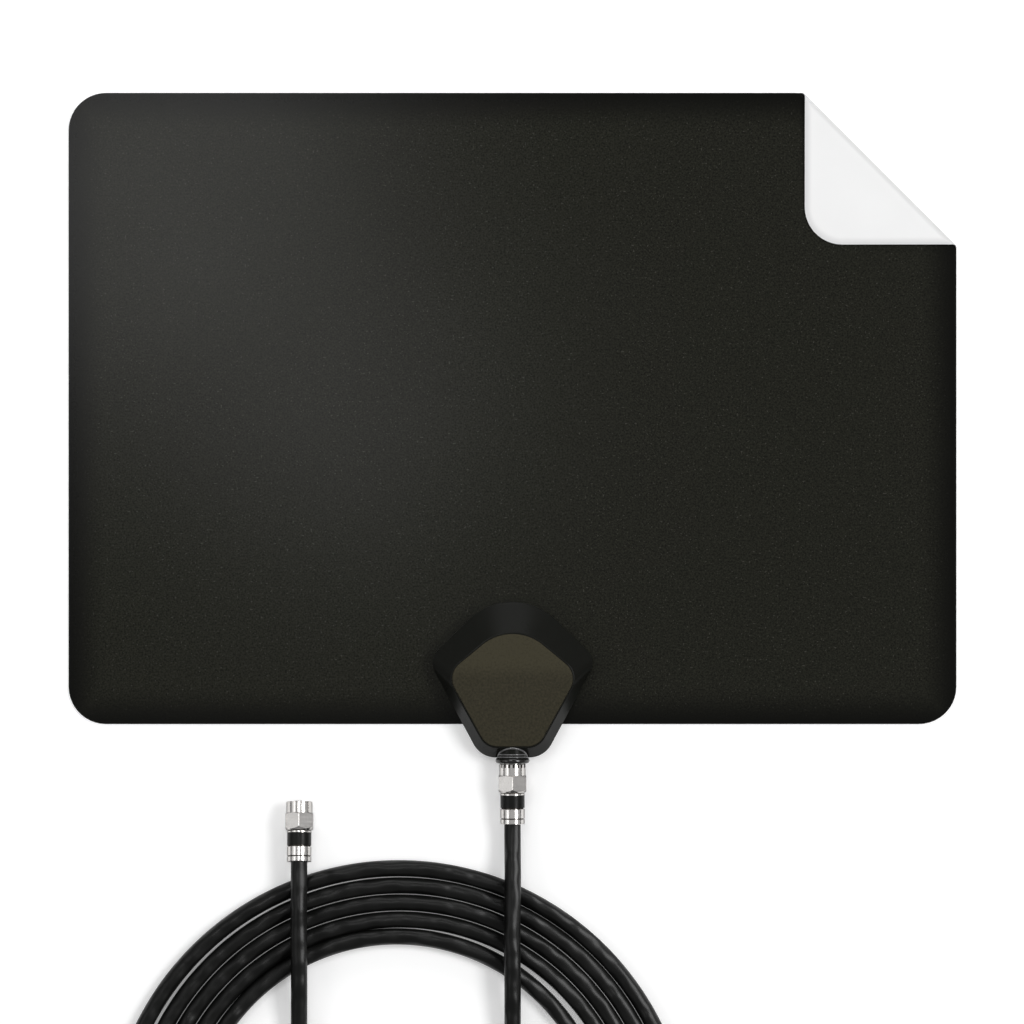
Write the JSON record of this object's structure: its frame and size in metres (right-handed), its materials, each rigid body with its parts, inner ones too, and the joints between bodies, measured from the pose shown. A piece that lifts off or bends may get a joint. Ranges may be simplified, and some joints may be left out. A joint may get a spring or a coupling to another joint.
{
  "type": "flat indoor tv antenna",
  "caption": "Thin rectangular indoor tv antenna sheet with a folded corner, a bevelled housing at its lower edge and a coiled coaxial cable with screw-on ends.",
  "frame": {"origin": "centre of the sheet's back face, as it lies on a table", "axes": "+X across the sheet towards the folded corner, +Y up the sheet away from the cable, +Z out of its front"},
  "size_m": [0.3551, 0.5409, 0.0154],
  "materials": {
    "white_film": "satin white film",
    "black_film": "fine-grained matte black film",
    "foil": "bare foil",
    "adhesive": "double-sided foam tape",
    "housing_plastic": "polished black moulding",
    "face_plate_plastic": "matte dark olive",
    "screw_steel": "zinc plated",
    "board_laminate": "solder mask",
    "ferrite": "sintered ferrite",
    "copper_wire": "bright copper",
    "contact_spring": "spring brass",
    "collar_plastic": "polished black moulding",
    "nickel": "nickel plated",
    "white_insulator": "natural foam",
    "band_plastic": "plain black",
    "cable_jacket": "satin black jacket"
  },
  "bodies": {
    "antenna": {"back_film": "white_film", "front_film": "black_film", "left_element": "foil", "right_element": "foil", "adhesive_pad": "adhesive", "rear_cover": "housing_plastic", "front_cover": "housing_plastic", "face_plate": "face_plate_plastic", "cover_screws": "screw_steel", "circuit_board": "board_laminate", "balun_core": "ferrite", "balun_winding": "copper_wire", "left_feed_contact": "contact_spring", "right_feed_contact": "contact_spring", "port_collar": "collar_plastic", "port_barrel": "nickel", "port_insulator": "white_insulator", "port_contact": "contact_spring", "cable_lead": "cable_jacket", "cable_coil": "cable_jacket", "cable_tail": "cable_jacket", "antenna_end_nut": "nickel", "antenna_end_post": "nickel", "antenna_end_body": "nickel", "antenna_end_band": "band_plastic", "antenna_end_sleeve": "nickel", "antenna_end_dielectric": "white_insulator", "antenna_end_conductor": "copper_wire", "tv_end_post": "nickel", "tv_end_body": "nickel", "tv_end_band": "band_plastic", "tv_end_sleeve": "nickel", "tv_end_dielectric": "white_insulator", "tv_end_conductor": "copper_wire"},
    "tv_nut": {"tv_end_nut": "nickel"}
  },
  "joints": [
    {"name": "tv_nut_swivel", "type": "hinge", "parent": "antenna", "child": "tv_nut", "pos_m": [-0.085, -0.1669, 0.00744], "axis": [0, -0.9903, 0.1392], "continuous": true}
  ]
}
